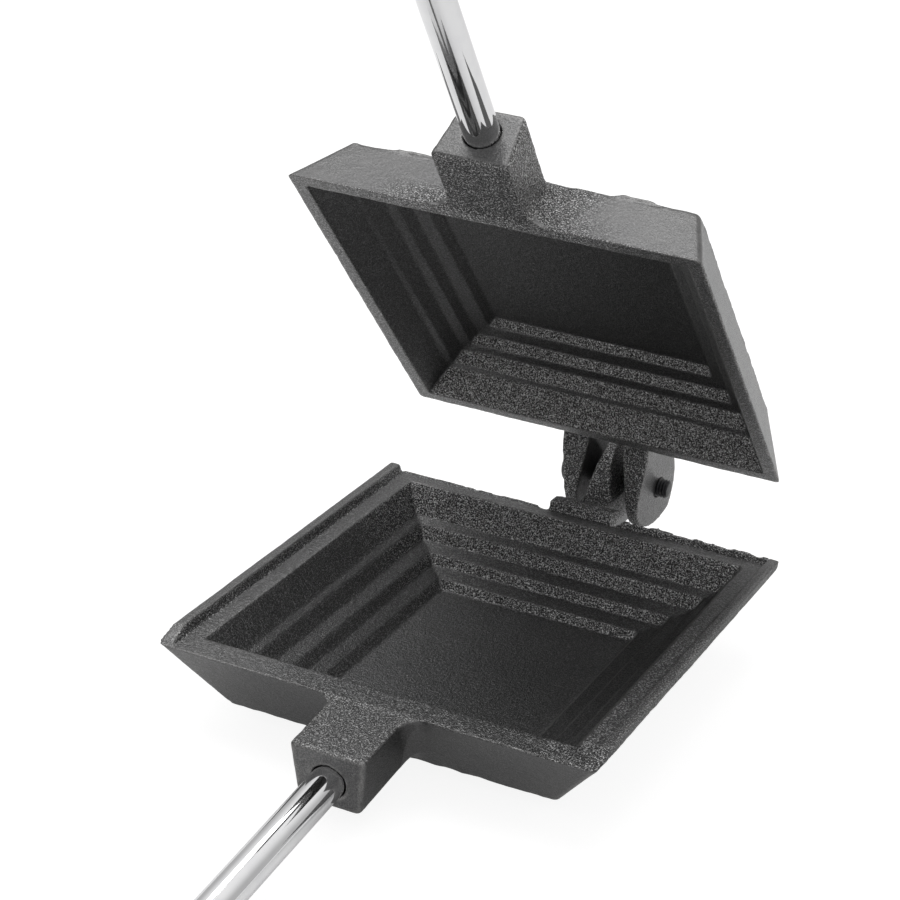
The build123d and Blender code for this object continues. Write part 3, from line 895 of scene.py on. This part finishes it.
def hexagon(along, radius, turn):
    """A hexagonal nut under a round bevel and dome."""
    if along > nut_start + hex_end or along < nut_start + hex_start:
        return radius
    sector = math.pi / 3
    flat = across_flats / 2 / math.cos((turn + sector / 2) % sector - sector / 2)
    return min(radius, flat)


nut_profile = [(0, nut_bore), (0, 4.7), (0.1, 5.0), (0.5, 5.3), (4.0, 5.3)]
nut_profile += [(4.5, 5.05), (4.9, 4.6), (5.05, 4.3)]
nut_profile += [
    (5.1 + 2.9 * math.sin(math.radians(a)), 4.2 * math.cos(math.radians(a)))
    for a in range(0, 90, 9)
]
nut_profile += [(nut_length, 0.02), (nut_length - nut_wall, 0.02), (nut_length - nut_wall, nut_bore)]
nut_outline = [(nut_start + along, radius) for along, radius in nut_profile]

for side, half in halves.items():
    grip = grip_mesh()
    scorch_layer(grip)
    turned = {
        ("handle", "grip"): (grip, woods[side]),
        ("collar", "ferrule"): (lathe(ferrule_outline, 96), plate),
        ("ring", "washer"): (lathe(washer_outline, 72), zinc),
        ("acorn_nut", "cap_nut"): (lathe(nut_outline, 72, shape=hexagon), zinc),
    }
    for (name, node), (mesh, material) in turned.items():
        mesh.transform(half @ down_grip)
        piece(f"{side}_{name}", mesh, material, f"{side}_half", f"{side}_{node}", 28)

# ---- hinge screw ---------------------------------------------------------------------


def cut(mesh, cutter):
    """Takes one closed mesh out of another."""
    whole, tool = linked("whole", mesh), linked("tool", cutter)
    boolean = whole.modifiers.new("cut", "BOOLEAN")
    boolean.object = tool
    boolean.solver = "EXACT"
    result = applied(whole)
    bpy.data.objects.remove(tool)
    return result


def prism(sides, radius, start, end, turn=0.0):
    """A straight prism along +X."""
    rings = []
    for along in (start, end):
        corners = [turn + 2 * math.pi * n / sides for n in range(sides)]
        rings.append([(along, radius * math.cos(a), radius * math.sin(a)) for a in corners])
    return skin(rings)


thread_pitch, thread_depth = 0.8, 0.34
thread_start, ring_step = 3.9, 0.1
screw_tip = ear_outer + screw_past_ear
thread_rings = int((screw_tip - 4.3) / ring_step)


def threaded(along, radius, turn):
    """A screw thread from the inside of the ear to the tip."""
    if along < 4 or radius < 2:
        return radius
    wave = abs((along / thread_pitch - turn / (2 * math.pi)) % 1 - 0.5) * 2
    return radius - thread_depth * min(1, 1.25 * wave)


# the round head bears on the outer face of the left ear
screw_outline = [(-15, 0.02), (-15, 2.2), (-14.8, 3.1), (-14.4, 3.8), (-13.8, 4.3), (-13.1, 4.5)]
screw_outline += [(-12.3, 4.5), (-ear_outer, 4.35), (-ear_outer, screw_radius)]
screw_outline += [(thread_start + ring_step * n, screw_radius) for n in range(thread_rings + 1)]
screw_outline += [(screw_tip - 0.05, 1.9), (screw_tip, 1.5), (screw_tip, 0.02)]
screw_mesh = lathe(screw_outline, 64, shape=threaded, closed=False)
hex_socket = prism(6, 1.75, -16, -13.3)
screw_mesh = cut(screw_mesh, hex_socket)
screw_mesh.transform(scale @ swing @ about_hinge)
piece("hinge_pin", screw_mesh, screw_steel, "upper_half", "hinge_screw", 40)

# ---- latch and its screws --------------------------------------------------------------

latch_y = grip_front - latch_station
pivot_z = 2 * pan_height + rim_gap - grip_height

# a latch screw's stations are counted from the grip's axis outwards
pilot_tip, collar_seat, collar_top, head_under, head_top = 4.36, 9.36, 10.16, 12.06, 13.86
stud_outline = [
    (pilot_tip, 0.02),
    (pilot_tip, 1.2),
    (4.7, 1.5),
    (collar_seat, 1.5),
    (collar_seat, 3.4),
    (9.46, 3.5),
    (10.06, 3.5),
    (collar_top, 3.4),
    (collar_top, 2.1),
    (head_under, 2.1),
    (head_under, 3.85),
    (12.2, 4.0),
    (12.6, 3.95),
    (13.1, 3.6),
    (13.5, 2.9),
    (13.75, 1.9),
    (head_top, 0.02),
]
slot_floor, slot_narrow, slot_long = 13.0, 0.75, 8
latch_screws = (
    ("catch_screw", "catch_stud", "lower_half", scale, grip_height, 0.5),
    ("pivot_screw", "pivot_stud", "upper_half", scale @ swing, pivot_z, -0.9),
)

for name, node, body, half, height, lean in latch_screws:
    slot_cutter = prism(4, 1, slot_floor, 15, math.pi / 4)
    slot_cutter.transform(Matrix.Diagonal((1, slot_narrow, slot_long, 1)))
    slot_cutter.transform(Matrix.Rotation(lean, 4, "X"))
    stud = cut(lathe(stud_outline, 64, closed=False), slot_cutter)
    stud.transform(half @ Matrix.Translation((0, latch_y, height)))
    piece(name, stud, zinc, body, node, 40)


def plate_copy(node, bevel):
    """A node's mesh with its triangles merged into faces and its edges broken."""
    whole = bmesh.new()
    whole.from_mesh(nodes[node].data)
    bmesh.ops.remove_doubles(whole, verts=whole.verts, dist=1e-6)
    bmesh.ops.dissolve_limit(
        whole, angle_limit=math.radians(2), verts=whole.verts, edges=whole.edges
    )
    mesh = bpy.data.meshes.new(node)
    whole.to_mesh(mesh)
    whole.free()
    rough = linked("rough", mesh)
    edge = rough.modifiers.new("edge", "BEVEL")
    edge.width = bevel * MM
    edge.segments = 3
    edge.limit_method = "ANGLE"
    edge.angle_limit = math.radians(50)
    return applied(rough)


piece("latch_plate", plate_copy("latch_hook", 0.28), zinc, "latch", "latch_hook", 40)

# ---- camera ----------------------------------------------------------------------------

azimuth, elevation, roll = (math.radians(a) for a in (22.486, 24.881, 4.107))
distance = 0.544152
aim = Vector((0.028188, -0.0045, 0.06228))
focal_px = 2450.676
principal = (595.461, 477.04)
image = 900

toward = Vector(
    (
        math.sin(azimuth) * math.cos(elevation),
        -math.cos(azimuth) * math.cos(elevation),
        math.sin(elevation),
    )
)
right = Vector((math.cos(azimuth), math.sin(azimuth), 0))
up = right.cross(-toward)
rolled_right = right * math.cos(roll) + up * math.sin(roll)
rolled_up = up * math.cos(roll) - right * math.sin(roll)
eye = aim + toward * distance

data = bpy.data.cameras.new("camera")
data.sensor_width = 36
data.lens = focal_px / image * data.sensor_width
data.shift_x = (image / 2 - principal[0]) / image
data.shift_y = (principal[1] - image / 2) / image
data.clip_start = 0.01
camera = bpy.data.objects.new("camera", data)
camera.matrix_world = Matrix(
    (
        (rolled_right.x, rolled_up.x, toward.x, eye.x),
        (rolled_right.y, rolled_up.y, toward.y, eye.y),
        (rolled_right.z, rolled_up.z, toward.z, eye.z),
        (0, 0, 0, 1),
    )
)
scene = bpy.context.scene
scene.collection.objects.link(camera)
scene.camera = camera
scene.view_settings.view_transform = "Standard"

# ---- studio ----------------------------------------------------------------------------


def area_lamp(name, place, aim, size, power):
    light = bpy.data.lights.new(name, "AREA")
    light.shape = "RECTANGLE"
    light.size, light.size_y = size
    light.energy = power
    lamp = bpy.data.objects.new(name, light)
    lamp.location = place
    lamp.rotation_euler = (Vector(aim) - Vector(place)).to_track_quat("-Z", "Y").to_euler()
    scene.collection.objects.link(lamp)


area_lamp("key", place=(-0.3, 0.3, 1.2), aim=(0, 0, 0.05), size=(1.0, 1.0), power=6.5)

# the metal mirrors a tent that is white overhead and dimmer towards its walls
tent_wall, tent_roof, ordinary = 0.52, 1.0, 0.45
world = bpy.data.worlds.new("studio")
world.use_nodes = True
scene.world = world
sky = Nodes(world.node_tree)
path = sky.node("ShaderNodeLightPath").outputs
direction = sky.node("ShaderNodeTexCoord").outputs["Generated"]
height = sky.node("ShaderNodeSeparateXYZ", Vector=direction).outputs["Z"]
tent = sky.ramp(height, 0.25, 0.85, tent_wall, tent_roof)
mirrored = sky.math("MAXIMUM", path["Is Glossy Ray"], path["Is Transmission Ray"])
extra = sky.math("MULTIPLY", mirrored, sky.math("SUBTRACT", tent, ordinary))
level = sky.math("MAXIMUM", sky.math("ADD", extra, ordinary), path["Is Camera Ray"])
background = sky.node("ShaderNodeBackground", Color=grey(1), Strength=level)
sky.node("ShaderNodeOutputWorld", Surface=background.outputs[0])

# seen by the camera the floor is white with a faint shadow; the metal mirrors a white
# board that is darker under the object
seen_tone, board_tone = grey(0.3), grey(0.95)
seen_glow, board_glow = 0.88, 0.16
bpy.ops.mesh.primitive_plane_add(size=8)
floor = bpy.context.object
floor.name = "floor"
paint = Material("floor")
rays = paint.node("ShaderNodeLightPath").outputs
board = paint.mix(rays["Is Camera Ray"], board_tone, seen_tone)
mirrored = paint.math("MAXIMUM", rays["Is Glossy Ray"], rays["Is Transmission Ray"])
glow = paint.math(
    "MAXIMUM",
    paint.math("MULTIPLY", rays["Is Camera Ray"], seen_glow),
    paint.math("MULTIPLY", mirrored, board_glow),
)
floor.data.materials.append(
    paint.finish(Base_Color=board, Roughness=0.9, Emission_Color=grey(1), Emission_Strength=glow)
)
